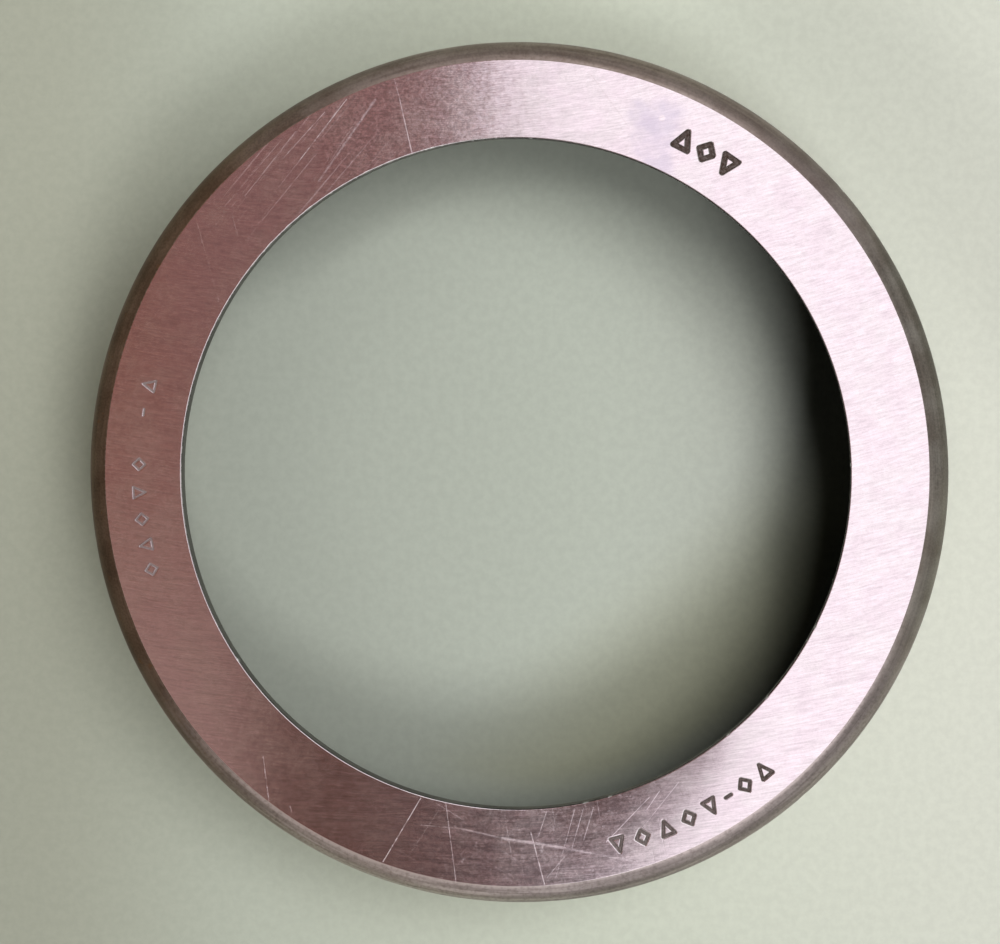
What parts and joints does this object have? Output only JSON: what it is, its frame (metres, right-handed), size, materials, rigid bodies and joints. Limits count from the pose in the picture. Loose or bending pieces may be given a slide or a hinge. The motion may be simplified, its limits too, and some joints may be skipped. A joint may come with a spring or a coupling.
{
  "type": "tapered roller bearing outer ring",
  "caption": "Loose outer ring of a separable tapered roller bearing: ground steel ring with a conical raceway bore, wide flat back face and rounded outer corners.",
  "frame": {"origin": "on the ring's axis, in the plane of the front face, which is the narrow face at the raceway's wide end", "axes": "+Z along the ring's axis, from the front face to the wide back face; +X and +Y across the ring, which is round"},
  "size_m": [0.0682, 0.0682, 0.0175],
  "materials": {
    "bearing_steel": "through-hardened bearing steel; fine-ground faces, outside diameter and raceway, with dark as-turned outer corners"
  },
  "bodies": {
    "root": {"outer_ring_cup": "bearing_steel"}
  },
  "joints": []
}
